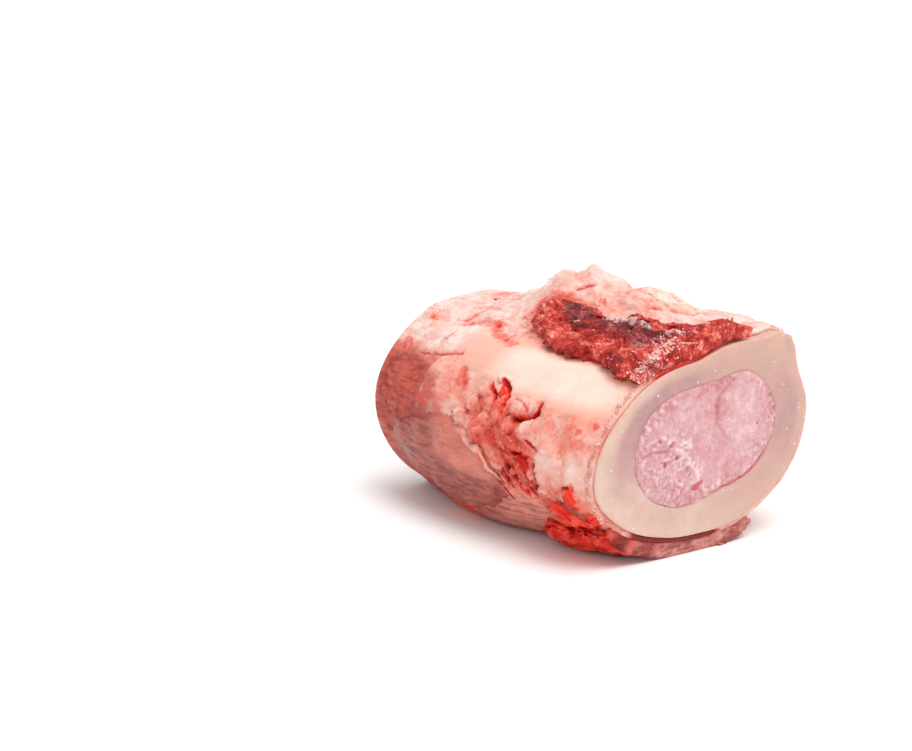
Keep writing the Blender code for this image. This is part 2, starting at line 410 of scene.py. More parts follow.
def path_gap(here, path):
    """How far a point is from a path through points, all in mm."""
    best = 1e9
    for start, end in zip(path, path[1:]):
        run = (end[0] - start[0], end[1] - start[1])
        off = (here[0] - start[0], here[1] - start[1])
        share = (off[0] * run[0] + off[1] * run[1]) / (run[0] ** 2 + run[1] ** 2)
        share = min(1, max(0, share))
        best = min(best, math.hypot(off[0] - share * run[0], off[1] - share * run[1]))
    return best


def shrink_loop(bm, loop, rings):
    """Closes an open end with rings of faces that shrink to its middle."""
    middle = sum((v.co for e in loop for v in e.verts), Vector()) / (2 * len(loop))
    share = 1
    for ring in range(1, rings):
        made = bmesh.ops.extrude_edge_only(bm, edges=loop)["geom"]
        loop = [g for g in made if isinstance(g, bmesh.types.BMEdge) and g.is_boundary]
        goal = 1 - ring / rings
        for v in {v for e in loop for v in e.verts}:
            v.co = middle + (v.co - middle) * goal / share
        share = goal
    bmesh.ops.holes_fill(bm, edges=loop, sides=0)


marrow_bm = marrow_shape.copy()
caps = [f for f in marrow_bm.faces if abs(f.normal.x) > END_ON]
bmesh.ops.delete(marrow_bm, geom=caps, context="FACES_ONLY")
for v in marrow_bm.verts:
    v.co += outward(v.co) * MARROW_SWELL
open_edges = [e for e in marrow_bm.edges if e.is_boundary]
bmesh.ops.subdivide_edges(marrow_bm, edges=open_edges, cuts=MARROW_SPLIT_CUTS)
for side in (1, -1):
    loop = [e for e in marrow_bm.edges if e.is_boundary and e.verts[0].co.x * side > 0]
    shrink_loop(marrow_bm, loop, MARROW_RINGS)
bmesh.ops.triangulate(marrow_bm, faces=marrow_bm.faces)
bmesh.ops.recalc_face_normals(marrow_bm, faces=marrow_bm.faces)
marrow_bm.normal_update()
red_layer, pale_layer, edge_layer = layers(marrow_bm, "red", "pale", "edge")
marrow_moves = []
for v in marrow_bm.verts:
    degrees = place_of(v.co)[1]
    p = v.co / MM
    here = (math.copysign(1, p.x) * p.y, p.z)
    edge = (v.co - axis_point(v.co.x)).length / surface_radius(marrow_tree, behind_cut(v.co))
    crumbly = ease(0.72, 0.95, edge) * (0.4 + 0.6 * ease(20, 70, abs(turn_apart(degrees, 80))))
    crumbly = max(crumbly, fall(6, 12, math.dist(here, MARROW_CRUMBLE)))
    wander = 0.45 * noise.noise(p * 0.9)
    crack = path_gap(here, MARROW_CRACK) + 0.2 * noise.noise(p * 1.3)
    ridge = path_gap(here, MARROW_RIDGE) + wander
    fissure = path_gap(here, MARROW_FISSURE) + 0.3 * noise.noise(p * 1.3)
    lobe = fall(4.5, 9, math.hypot(here[0] - MARROW_LOBE[0], (here[1] - MARROW_LOBE[1]) * 0.75))
    grains = noise.turbulence(p * 0.8, 3, True)
    height = 0.35 * noise.noise(p * 0.22) + 0.2 * noise.noise(p * 0.6) + crumbly * 0.8 * (grains - 0.35)
    height += 0.1 * noise.noise(p * 1.6) + 0.6 * lobe
    height -= 0.5 * fall(0.1, 0.8, crack) + 0.5 * fall(0.1, 0.6, fissure)
    height += 0.6 * fall(0, 0.9, ridge) * (0.5 + noise.noise(p * 0.5))
    low_edge = near_angle(degrees, MARROW_LOW_EDGE, 20, 60)
    height -= 0.5 * ease(0.955, 0.985, edge) * ease(0.35, 0.6, grains) * (0.3 + 0.7 * low_edge)
    red = 0
    for y, z, size in MARROW_SPOTS:
        ragged = 1.2 * noise.noise(p * 0.8 + Vector((0, y, z)))
        gap = math.hypot(here[0] - y, here[1] - z) / size + ragged
        red = max(red, fall(0.3, 1.3, gap))
    height -= 0.5 * red
    red = max(red, 0.6 * fall(0, 0.5, crack), 0.5 * fall(0.1, 0.5, fissure))
    red = max(red, 0.7 * low_edge * ease(0.965, 0.99, edge))
    v[red_layer] = max(red, 0.3 * crumbly * fall(0.2, 0.4, grains))
    v[pale_layer] = max(crumbly * ease(0.35, 0.65, grains), 0.9 - ease(0.1, 0.9, ridge), 0.35 * lobe)
    v[edge_layer] = ease(0.6, 1, edge)
    if abs(v.normal.x) > 0.5:
        marrow_moves.append((v, v.normal * height * MM))
move_points(marrow_moves)


def dress_marrow(start):
    edge = attribute(start, "edge")
    patches = clouds(start, 5, 3, twist=0.6)
    grain = clouds(start, 0.9, 4, 0.7)
    crystals = cells(start, 0.8, "Color")
    tone = (patches - 0.5) * 0.9 + (grain - 0.5) * 0.7 + (crystals - 0.5) * 0.2 + 0.52
    tone = tone - edge * 0.12 - 0.05 + attribute(start, "pale") * 0.35
    base = tone.shade(
        (0.1, colour(194, 108, 116)), (0.35, colour(214, 150, 154)), (0.6, colour(224, 176, 179)),
        (0.95, colour(246, 218, 218)))
    red = (attribute(start, "red") + (grain - 0.5) * 0.8).rise(0.35, 0.85)
    base = (red * 0.8).mix(base, colour(212, 84, 74))
    return {
        "Base Color": base,
        "Roughness": 0.55 - grain * 0.2,
        "Normal": bumps(start, grain + crystals * 0.3, 0.28),
    }


settle("marrow_core", marrow_bm, make_finish(
    "marrow",
    soft(0.4, (1, 0.45, 0.4), 1.6, {"Coat Weight": 0.15, "Coat Roughness": 0.3}),
    dress_marrow), "marrow", "marrow")

# The cover: fat and fascia on the bone, cut and torn by the knife. A smooth cream band runs along
# the near shoulder; below it the fat is torn into lobes with blood between, and a red gully runs
# down to the foot of the ring. The underside is a darker, stringy fascia, its darker tone partly
# painted shade, more so further from the sawn face. The clefts are painted darker with blood and
# painted shade, the near side away from the saw cut is a darker red partly as painted shade, and
# the lobes are painted paler on top as a highlight.
COVER_CUTS = 4
COVER_ROUNDS = 8
LEAST_FAT = 0.35
TUCK = 0.5
DEGREE = 0.5  # mm round the bone for each degree
BAND_MIDDLE = 146
NOISE_SEED = 3
noise.seed_set(NOISE_SEED)
SCRAP_HEIGHT = 9 * MM  # more than any scrap stands off the cover
# Places round the cover, in degrees: where a zone starts, ends and how fast it fades.
NEAR_SIDE = (152, 222, 8)
NEAR_LIP = (146, 215, 8)
UNDER_RING = (222, 284, 5)
FAR_RIM = 35
# The torn near side, which is cut finer still: its reach along and round the bone.
TORN_LENGTH = (2, 50)
TORN_ARC = (152, 218)
# The red gully, from the torn fat down to the foot of the ring: behind and degrees.
GULLY = (
    (38, 178), (31, 184.5), (27.5, 188.5), (23, 193.5), (19, 198), (14.5, 208), (9, 214),
)
# Clefts in the fat: the path as (behind, degrees), the half-width and depth in mm, and how bloody.
CLEFTS = (
    (GULLY, 1.7, 1.2, 0.5),
    (((31, 182.6), (28.4, 187), (27.4, 192), (24, 197), (20, 202)), 0.5, 0.9, 0.9),
    (((24.8, 184.3), (22.4, 184.8), (20.6, 186.4), (19.6, 189.6), (17.4, 193.2), (16.8, 196)),
     0.45, 1.5, 1),
    (((22, 187), (20.4, 192), (18, 198), (15, 203)), 1.2, 0.8, 0.9),
    (((20.8, 178.6), (18.5, 180.4), (16.2, 181.6)), 0.35, 1.3, 1),
    (((20.6, 163.5), (21, 167.2), (23, 171.4), (26.5, 171.8)), 0.6, 1.4, 1),
    (((35, 157.5), (32.4, 161), (31.4, 165), (31, 170)), 0.8, 1.2, 1),
    (((38.5, 160), (36, 164), (35.4, 168)), 0.5, 0.9, 0.9),
    (((15.6, 168), (14.4, 171.5), (12.6, 174.6)), 1.2, 0.2, 0.35),
    (((63, 128.5), (58, 123.5), (54, 127), (52, 125)), 1.5, 0.55, 0.5),
    (((52, 128), (49, 132.5), (46.5, 133), (42.5, 136.5)), 1.6, 0.55, 0.55),
    (((75, 88), (69, 83)), 1.2, 0.6, 0.4),
    (((73, 99.5), (67.5, 97)), 1.3, 0.5, 0.35),
    (((70, 153.5), (62, 151.5), (55, 149)), 0.8, 0.5, 0.35),
    (((52, 157), (49, 162.5)), 1.2, 0.7, 0.6),
    (((38, 85.5), (40, 92)), 0.7, 0.6, 0.5),
    (((27, 71), (24.5, 67)), 0.6, 0.7, 0.5),
    (((57, 96), (62, 104), (70, 107)), 1.4, 0.5, 0.4),
    (((45, 74), (50, 70), (57, 73)), 1.4, 0.6, 0.5),
    (((18, 34), (28, 26), (40, 28), (47, 20)), 1.7, 0.6, 0.5),
    (((48, -6), (58, 2), (70, -4)), 1.5, 0.6, 0.45),
    (((10, -32), (22, -24), (36, -28)), 1.6, 0.6, 0.5),
    (((54, 44), (62, 38), (74, 42)), 1.5, 0.6, 0.4),
    (((24, 4), (30, -4), (34, -4)), 1.3, 0.5, 0.4),
)
# Lobes of torn fat: behind, degrees, half-length, half-width, turn in degrees, and height.
LOBES = (
    (25.1, 166.4, 3.6, 2.5, 12, 1.25), (27.6, 175.2, 2, 2.2, 0, 0.9), (22, 174.8, 1.7, 1.9, 10, 0.7),
    (24.8, 181.2, 2.3, 1.3, -25, 0.9),
    (12.6, 187.4, 4.7, 4.3, -30, 1.1), (24.4, 184.8, 1.4, 0.9, 60, 1), (17.4, 191.8, 0.9, 1.9, 15, 1),
    (39.2, 163.2, 2.6, 1.7, 20, 0.9), (35.6, 156.4, 2.2, 1.1, 0, 0.7), (33.6, 171.8, 2.2, 2.6, 20, 0.7),
    (37.4, 177.2, 2.6, 2.4, -20, 0.7), (42.6, 170.4, 2.4, 2, 0, 0.7), (31.4, 179.6, 2.2, 1.5, -35, 0.6),
    (5.6, 196.4, 2.1, 2.1, 0, 0.8), (46.4, 177, 2.6, 1.6, 10, 0.6),
    (8.6, 206, 2.8, 2, -50, 1.1), (13, 209.6, 2.4, 1.6, -50, 1.2), (6.4, 212, 1.8, 1.4, 0, 0.8),
    (51, 82, 3.2, 1.8, 20, 1), (43, 77, 2.4, 1.7, -10, 1.1), (37, 70, 3, 1.6, 15, 0.9),
    (63, 88, 4.2, 1.5, 8, 0.8), (73, 92, 2.6, 1.3, 0, 0.9), (56, 95, 2.6, 1.4, 30, 0.8),
    (46, 92, 2.8, 1.3, -25, 0.7), (30, 76, 3, 1.3, 10, 0.8), (17, 66, 3.2, 1.5, 0, 0.7),
    (20, 22, 5.2, 2.3, 10, 0.9), (31, -8, 6, 2.4, -8, 0.9), (45, 32, 5, 2.6, 15, 1),
    (58, 4, 6, 2.4, 0, 0.9), (67, 42, 4.4, 2, 20, 0.8), (40, 50, 5.4, 2.2, -12, 0.9),
    (14, -24, 4.4, 2.2, 15, 0.8), (50, -30, 6.4, 2.6, 6, 0.8), (72, -14, 4, 2, -20, 0.7),
    (60, 160, 3, 1.6, 10, 0.7), (70, 172, 4, 1.8, -10, 0.8), (75, 140, 3.4, 1.6, 15, 0.6),
)
# Blood spots: behind, degrees, radius and strength.
BLOOD_SPOTS = (
    (5.4, 195.4, 1.9, 1), (6.4, 199.4, 1.7, 0.8), (10.5, 207, 2.8, 1), (14.5, 210.5, 2.2, 0.9),
    (6.4, 213, 2.4, 0.9), (50, 226, 3, 0.9), (56, 228, 3.4, 0.9), (44, 227, 2.6, 0.7),
    (3.9, 166.3, 1, 0.6), (4.6, 170, 1.4, 0.35), (6.6, 171, 0.8, 0.5), (5.1, 176.1, 1.7, 0.4),
    (7, 175.8, 0.9, 0.5), (34.1, 86.4, 1.1, 0.6), (52.2, 125.2, 0.5, 1.2), (46.6, 132.9, 0.5, 1.2),
    (21.1, 186.2, 1.5, 1.1), (78, 150, 3, 0.6), (50, 160, 2, 0.5), (34.4, 162.4, 1.4, 1),
)
# How much redder the fat is in patches: behind, degrees, reach along, reach round, and by how much.
FLUSHES = (
    (33, 168, 12, 10, 0.26), (24, 190, 12, 9, 0.32), (10, 204, 9, 8, 0.18),
    (8, 172, 9, 6, 0.02), (30, 84, 14, 16, 0.18), (48, 128, 12, 5, 0.18),
    (58, 152, 12, 4, 0.14), (44, 108, 8, 8, 0.14), (70, 70, 12, 12, 0.12),
    (40, 20, 20, 14, 0.20), (14, 30, 10, 10, 0.12), (66, 330, 14, 10, 0.25),
    (13, 186, 5, 4.5, -0.10), (6, 184, 5, 5, -0.05), (25, 166, 3.5, 3, -0.06),
    (62, 135, 12, 8, -0.10),
)


def zone(value, low, high, fade):
    """1 well inside the span and 0 outside it, with a fade at each end."""
    return ease(low - fade, low + fade, value) * fall(high - fade, high + fade, value)


def lobes(p, size, stretch, seed):
    """Rounded lobes of about this size in mm: their height, and how deep in a cleft a point is."""
    q = Vector((p.x / (size * stretch), p.y / size, p.z / size)) + Vector((seed, seed, seed))
    q += noise.noise_vector(p * (0.7 / size)) * 0.3
    distances, middles = noise.voronoi(q)
    edge = min(1, (distances[1] - distances[0]) / 0.55)
    dome = math.sqrt(1 - (1 - edge) ** 2)
    own = noise.noise(middles[0] * 5.3)
    slope = (q - middles[0]).dot(Vector((0.35, 0.4, 0.75)))
    return dome * 0.8 + own * 0.7 + slope * 0.5 - 0.55, fall(0, 0.28, edge)


def unrolled(path):
    """A path of (behind, degrees) laid out flat, in mm."""
    return [(behind, degrees * DEGREE) for behind, degrees in path]


def spot_gap(behind, degrees, patch):
    """How far a place is from the middle of a (behind, degrees, radius) patch, in that radius."""
    return math.hypot(behind - patch[0], turn_apart(degrees, patch[1]) * DEGREE) / patch[2]


def even_out(bm, points):
    bmesh.ops.smooth_vert(
        bm, verts=points, factor=0.5, use_axis_x=True, use_axis_y=True, use_axis_z=True)


def cover_zones(behind, degrees):
    """How much each kind of surface there is at a place on the cover."""
    off = abs(turn_apart(degrees, BAND_MIDDLE - 0.06 * max(0, behind - 30)))
    band = fall(8, 15, off) * fall(52, 66, behind)
    torn = zone(behind, 17, 47, 4) * zone(degrees, 157, 194, 4)
    by_ring = fall(14, 21, behind) * zone(degrees, 156, 216, 5)
    under = zone(degrees, 204, 330, 8) * ease(8, 18, behind)
    crown = zone(behind, 28, 64, 6) * zone(degrees, 48, 104, 8)
    return band, torn * (1 - band), by_ring, under, crown


scrap_names = ("top_muscle", "lower_muscle", "sinew_sheet", "tendon")
scrap_trees = [BVHTree.FromBMesh(merged_copy(name)) for name in scrap_names]
meat_tree = scrap_trees[0]
cover_bm = merged_copy("fat_cover")
outer_faces = [f for f in cover_bm.faces if f.normal.dot(outward(f.calc_center_median())) > 0.25]
refine(cover_bm, outer_faces, COVER_CUTS)
torn_faces = []
for f in cover_bm.faces:
    middle = f.calc_center_median()
    behind, degrees = place_of(middle)
    in_torn = TORN_LENGTH[0] < behind < TORN_LENGTH[1] and TORN_ARC[0] < degrees < TORN_ARC[1]
    if in_torn and f.normal.dot(outward(middle)) > 0.2:
        torn_faces.append(f)
refine(cover_bm, torn_faces, 1)
cream_layer, blood_layer, fascia_and_shade_layer, blush_layer, rear_red_and_shade_layer, far_shade_layer, calm_layer, cleft_shade_layer = layers(
    cover_bm, "cream", "blood", "veil", "blush", "rear", "far", "calm", "cleft")
outer = {v for v in cover_bm.verts
         if all(f.normal.dot(outward(f.calc_center_median())) > 0.2 for f in v.link_faces)}
for _ in range(COVER_ROUNDS):
    even_out(cover_bm, list(outer))
cover_bm.normal_update()
cleft_paths = [(unrolled(path), width, depth, bloody) for path, width, depth, bloody in CLEFTS]
cover_moves = []
for v in cover_bm.verts:
    behind, degrees = place_of(v.co)
    away = outward(v.co)
    if v not in outer and v.normal.dot(away) < 0:
        cover_moves.append((v, -away * TUCK * MM))
    p = v.co / MM
    band, torn, by_ring, under, crown = cover_zones(behind, degrees)
    near_meat = meat_tree.find_nearest(v.co)[3] / MM
    plain = max(0, 1 - band - torn - by_ring - under - crown)
    big, big_cleft = lobes(p, 4.6, 1, 1.7)
    small, small_cleft = lobes(p, 2.1, 1.2, 5.1)
    long, long_cleft = lobes(p, 4.2, 2.2, 3.3)
    height = 0.45 * noise.noise(p * 0.11) + 0.22 * noise.noise(p * 0.35) + 0.1 * noise.noise(p * 1.1)
    height = height * (1 - 0.8 * band)
    height += torn * (0.38 * big + 0.12 * small) + by_ring * (0.12 * big + 0.06 * small)
    height += crown * (0.8 * long + 0.4 * small) + plain * (0.55 * long + 0.3 * small)
    height += under * (0.10 * long + 0.15 * noise.noise(Vector((p.x * 0.2, p.y * 0.9, p.z * 0.9))))
    # The clefts are painted darker and redder: blood lying in them, with painted shade.
    cleft = max(torn * 0.5 * max(big_cleft, small_cleft), crown * 0.45 * long_cleft)
    cleft = max(cleft, plain * 0.3 * long_cleft, by_ring * 0.15 * big_cleft)
    blood = torn * 0.6 * big_cleft * ease(-0.2, 0.3, noise.noise(p * 0.21 + Vector((4, 0, 9))))
    blood = max(blood, (crown + plain) * 0.6 * long_cleft * ease(0.05, 0.35, noise.noise(p * 0.13)))
    here = (behind, (degrees if degrees < 300 else degrees - 360) * DEGREE)
    ragged = 0.35 * noise.noise(p * 0.9)
    warp = 0.3 * noise.noise(p * 0.35) + 0.2 * noise.noise(p * 0.9)
    nearest = [9, 9]
    swell = 0
    for lobe_behind, lobe_degrees, length, width, turn, tall in LOBES:
        along = behind - lobe_behind
        across = turn_apart(degrees, lobe_degrees) * DEGREE
        if abs(along) + abs(across) < 12:
            cosine = math.cos(math.radians(turn))
            sine = math.sin(math.radians(turn))
            lengthwise = (along * cosine + across * sine) / length
            reach = math.hypot(lengthwise, (across * cosine - along * sine) / width) + warp
            swell = max(swell, 1.35 * tall * math.sqrt(max(0, 1 - reach * reach)))
            nearest = sorted(nearest + [reach])[:2]
    height += swell
    seam = fall(0.95, 1.3, nearest[0]) * ease(0.84, 0.98, nearest[0])
    seam *= fall(1.2, 1.9, nearest[1])
    height -= 0.7 * seam
    cleft = max(cleft, 0.9 * seam)
    blood = max(blood, 0.8 * seam * ease(-0.25, 0.2, noise.noise(p * 0.3)))
    for path, width, depth, bloody in cleft_paths:
        gap = path_gap(here, path) / width * (1 + 1.2 * ragged) + ragged
        if gap < 2.2:
            height -= depth * fall(0.1, 1.1, gap)
            blood = max(blood, bloody * fall(0.4, 1.8, gap))
            cleft = max(cleft, fall(0, 0.9, gap) * (1 if width < 1.2 else 0.35))
    for patch in BLOOD_SPOTS:
        gap = spot_gap(behind, degrees, patch) + 1.6 * ragged + 0.5 * noise.noise(p * 0.45)
        blood = max(blood, patch[3] * fall(0.5, 1.3, gap))
    near_side = zone(degrees, *NEAR_SIDE)
    # Lobes are painted paler on top: a painted highlight.
    blush = 0.22 + 0.23 * near_side + 0.08 * torn + 0.04 * crown - 0.06 * swell
    blush += 0.34 * fall(0.5, 4.5, near_meat) * (1 - 0.4 * band)
    for patch_behind, patch_degrees, length, width, more in FLUSHES:
        across = turn_apart(degrees, patch_degrees) * DEGREE / width
        gap = math.hypot((behind - patch_behind) / length, across)
        blush += more * fall(0.2, 1.1, gap + 0.5 * ragged)
    covered = any(tree.ray_cast(v.co, away, SCRAP_HEIGHT)[0] for tree in scrap_trees)
    beside = min(tree.find_nearest(v.co)[3] for tree in scrap_trees) / MM
    far_rim = near_angle(degrees, FAR_RIM, 30, 60)
    height *= ease(0, 3, behind - 0.6 - 2.8 * far_rim) * fall(80, 83.5, behind)
    lip = fall(0.5, 6, behind) * zone(degrees, *NEAR_LIP)
    height = (height + lip * (0.05 + 0.7 * noise.noise(p * 0.6))) * ease(0, 2.5, p.z)
    height = min(height, 0.1 if covered else 0.1 + 0.6 * beside)
    room = (v.co - axis_point(v.co.x)).length - surface_radius(bone_tree, v.co)
    height = max(height, LEAST_FAT - room / MM)
    forward = fall(0.6, 2, behind) * zone(degrees, *NEAR_LIP)
    forward *= 0.3 + 0.6 * noise.noise(p * 0.9)
    if v in outer:
        cover_moves.append((v, (v.normal * height + Vector((forward, 0, 0))) * MM))
    elif behind < 1.5:
        # On the sawn front face of the cover: under the ring it is painted deep red, blood with painted
        # shade, and above the ring it is painted redder like the muscle beside it, partly as a painted
        # shadow line.
        under_ring = zone(degrees, *UNDER_RING)
        cleft = max(cleft, under_ring)
        blood = max(blood, under_ring)
        blush += 0.3 * zone(degrees, 225, 292, 10)
        blush += 0.6 * zone(degrees, 62, 134, 4)
    off = abs(turn_apart(degrees, 148 - 0.06 * max(0, behind - 30)))
    cream = fall(5, 23, off) * (1 - 0.55 * ease(32, 46, behind))
    cream *= fall(50, 66, behind) * (0.7 + 0.3 * ease(1, 9, behind))
    cream *= 0.45 + 0.55 * ease(0.3, 2.6, near_meat + 0.8 * noise.noise(p * 0.4))
    v[cream_layer] = cream
    # The underside fascia is painted darker further from the sawn face, as painted shade.
    v[far_shade_layer] = ease(30, 56, behind + 8 * noise.noise(p * 0.12))
    v[blood_layer] = blood
    # The underside takes a fascia colour whose darker tone is partly painted shade.
    v[fascia_and_shade_layer] = under
    v[calm_layer] = max(band, 0.75 * by_ring, 0.3 * near_side)
    # The near side's part away from the sawn face is painted a darker red: reddish fascia, with painted
    # shade.
    rear = ease(46, 74, behind + 0.25 * (degrees - 165)) * zone(degrees, 150, 236, 12)
    v[blush_layer] = blush + 0.2 * rear + 0.25 * noise.noise(p * 0.16) + 0.12 * noise.noise(p * 0.45)
    v[rear_red_and_shade_layer] = rear
    v[cleft_shade_layer] = cleft
move_points(cover_moves)


def dress_cover(start):
    broad = clouds(start, 7, 2, twist=1)
    middle = clouds(start, 2.2, 3, 0.6, twist=1.2)
    fine = clouds(start, 0.6, 4, 0.7)
    strings = clouds(start, 1.1, 3, 0.65, (0.18, 1, 1))
    cream = attribute(start, "cream")
    mottle = (broad - 0.5) * 0.7 + (middle - 0.5) * 0.75 + (fine - 0.5) * 0.25
    blush = attribute(start, "blush") + mottle * (1 - attribute(start, "calm") * 0.7)
    base = blush.shade(
        (0, colour(254, 230, 221)), (0.22, colour(252, 210, 199)), (0.45, colour(250, 176, 159)),
        (0.7, colour(240, 118, 98)), (1, colour(214, 46, 32)))
    base = (threads(start, 2.4, 0.02, (0.5, 1, 1)) * 0.3).mix(base, colour(255, 232, 224))
    veins = threads(start, 3.6, 0.016, (0.6, 1, 1), 3) * broad.rise(0.42, 0.58)
    base = (veins * 0.35).mix(base, colour(206, 80, 72))
    # The underside fascia: its darker tone is partly painted shade, darker still further from the sawn
    # face.
    fascia = strings.rise(0.3, 0.7).mix(colour(186, 96, 82), colour(238, 158, 142))
    painted_shade_fascia = strings.rise(0.3, 0.7).mix(colour(100, 26, 22), colour(160, 66, 54))
    fascia = attribute(start, "far").mix(fascia, painted_shade_fascia)
    base = (attribute(start, "veil") + (middle - 0.5) * 0.5).rise(0.3, 0.8).mix(base, fascia)
    # The near side away from the sawn face: a darker red, reddish fascia with painted shade.
    rear = (strings + (fine - 0.5) * 0.3 + (broad - 0.5) * 0.8).rise(0.25, 0.75)
    rear = rear.mix(colour(156, 48, 40), colour(212, 100, 84))
    rear_red_and_shade_share = attribute(start, "rear") + (strings - 0.5) * 0.5 + (broad - 0.5) * 0.9
    base = rear_red_and_shade_share.rise(0.2, 0.9).mix(base, rear)
    smooth_cream = broad.rise(0.3, 0.7).mix(colour(244, 216, 202), colour(242, 208, 192))
    base = (cream * 2).rise(0.1, 1).mix(base, colour(246, 184, 164))
    base = (cream + (middle - 0.5) * 0.15).rise(0.4, 0.95).mix(base, smooth_cream)
    blood = attribute(start, "blood") + (middle - 0.5) * 0.6 + (fine - 0.5) * 0.35
    base = (blood.rise(0.1, 0.6) * 0.6).mix(base, colour(240, 100, 80))
    blood = blood.rise(0.4, 0.9)
    base = blood.mix(base, middle.rise(0.35, 0.65).mix(colour(252, 66, 40), colour(236, 26, 10)))
    # Clefts painted darker red: blood in them, with painted shade.
    crack = (attribute(start, "cleft") + (fine - 0.5) * 0.8).rise(0.35, 0.9)
    base = (crack * 0.9).mix(base, blood.mix(colour(206, 84, 74), colour(120, 4, 4)))
    return {
        "Base Color": base,
        "Roughness": 0.52 - fine * 0.18 - blood * 0.2,
        "Coat Weight": 0.04 + blood * 0.08,
        "Normal": bumps(start, (fine + strings * 0.6 + middle * 0.5) * (1 - cream * 0.8), 0.5),
    }


fat_finish = make_finish(
    "fat",
    soft(0.2, (1, 0.4, 0.3), 1, {"Specular IOR Level": 0.25, "Coat Roughness": 0.2}),
    dress_cover)
cover_tree = BVHTree.FromBMesh(cover_bm)
settle("fat_and_fascia", cover_bm, fat_finish, "fat", "fat_cover")

# The top muscle: a scrap of dark red meat left between the hump and the cream band, coarse and
# granular where it was torn, with a frosty ridge along its upper edge and pale crumbs by the ring.
SCRAP_DROP = 0.62 * MM
SCRAP_ROUNDS = 5
SAWN = 0.9  # mm behind the front cut, within which a scrap is sawn flat
RIM = 2.6  # mm in from a scrap's outline, within which it is frayed
TOP_CUTS = 4
# The frosty ridge along the muscle's edge, and the crumbs by the ring: behind and degrees.
FROST_PATH = (
    (31, 112), (27.5, 108), (26, 101), (23, 96), (17.4, 96.5), (12, 101), (8, 98),
    (5.6, 90), (5, 76), (6, 60),
)
CRUMB_PATH = ((7.5, 103), (4, 116), (1.2, 128), (0.3, 140))
# Darker and lighter places in the muscle: behind, degrees, reach in mm, and by how much.
MUSCLE_TINTS = (
    (27, 110, 5, -0.8), (9, 105, 3.2, -1.4), (16, 112, 4, -0.7), (22, 98, 5, -0.5),
    (42, 112, 5, 0.7), (2.5, 122, 3, 0.9), (4, 66, 5, 0.8), (34, 124, 4, 0.4),
    (14, 128, 4, 0.4),
)
# Purple places: behind, degrees and reach.
PURPLE_SPOTS = ((33, 105, 5), (22, 101, 7), (14, 108, 5), (9, 116, 3.5))


def scrap_copy(node, cuts, sawn=False):
    """A scrap's solid, cut finer and evened out, with the points in its saw cut left flat."""
    bm = merged_copy(node)
    refine(bm, list(bm.faces), cuts)
    for _ in range(SCRAP_ROUNDS):
        even_out(bm, [v for v in bm.verts if not sawn or place_of(v.co)[0] > SAWN])
    bm.normal_update()
    return bm


def scrap_points(bm):
    """Lowers a scrap's underside onto the cover, and gives back the points of its upper side."""
    upper = set()
    for v in bm.verts:
        away = outward(v.co)
        if v.normal.dot(away) > 0.15:
            upper.add(v)
        else:
            share = 1 if v.normal.dot(away) < -0.3 else 0.6
            v.co -= away * SCRAP_DROP * share
    return upper


def fray(bm, coarse, fine):
    """Makes a scrap's outline ragged, by this much in mm. Gives back how near its edge each point is."""
    side = [v for v in bm.verts if abs(v.normal.dot(outward(v.co))) < 0.5 and place_of(v.co)[0] > SAWN]
    finder = KDTree(len(side))
    for number, v in enumerate(side):
        finder.insert(v.co, number)
    finder.balance()
    rims = {v: fall(0, RIM, finder.find(v.co)[2] / MM) for v in bm.verts}
    for v, rim in rims.items():
        away = outward(v.co)
        p = v.co / MM
        shift = noise.noise_vector(p * 0.4) * coarse + noise.noise_vector(p * 1.1) * fine
        shift -= away * shift.dot(away)
        shift.x *= ease(0.5, 3, place_of(v.co)[0])
        v.co += shift * rim * MM
    return rims


top_bm = scrap_copy("top_muscle", TOP_CUTS, True)
frost_layer, purple_layer, painted_shade_layer, light_layer = layers(top_bm, "frost", "purple", "deep", "light")
top_upper = scrap_points(top_bm)
top_rims = fray(top_bm, 1.3, 0.7)
frost_path = unrolled(FROST_PATH)
crumb_path = unrolled(CRUMB_PATH)
top_moves = []
for v in top_bm.verts:
    behind, degrees = place_of(v.co)
    here = (behind, degrees * DEGREE)
    p = v.co / MM
    frost = path_gap(here, frost_path) + 0.6 * noise.noise(p * 0.8)
    frost += 1.6 * ease(-0.1, 0.45, noise.noise(p * 0.22 + Vector((7, 1, 0))))
    crumb = path_gap(here, crumb_path) + 0.6 * noise.noise(p * 0.9)
    lump, gap = lobes(p, 4, 1.4, 2.2)
    grain, small_gap = lobes(p, 1.2, 1, 4.4)
    fibres = 1 - abs(noise.noise(Vector((p.x * 0.25, p.y * 0.9, p.z * 0.9 + p.x * 0.15))) * 2)
    height = 0.85 * lump + 0.3 * grain + 0.4 * fibres - 0.3 + 1 * noise.noise(p * 0.3)
    height += 0.8 * fall(0.2, 1.3, frost) + 0.5 * fall(0.3, 2, crumb)
    height = (height - 0.5 * top_rims[v]) * ease(0, 1.2, behind)
    v[frost_layer] = max(0.9 * fall(0.2, 2.4, frost), 0.6 * fall(0.5, 4, crumb))
    v[purple_layer] = max(fall(0.4, 1.2, spot_gap(behind, degrees, patch)) for patch in PURPLE_SPOTS)
    # deep: the gaps between lumps, painted darker as shade.
    v[painted_shade_layer] = max(0.8 * gap, 0.5 * small_gap)
    blur = 0.4 * noise.noise(p * 0.5)
    light = 0
    for patch in MUSCLE_TINTS:
        light += patch[3] * fall(0.2, 1.3, spot_gap(behind, degrees, patch) + blur)
    v[light_layer] = light
    top_moves.append((v, v.normal * height * (1 if v in top_upper else 0.7) * MM))
move_points(top_moves)


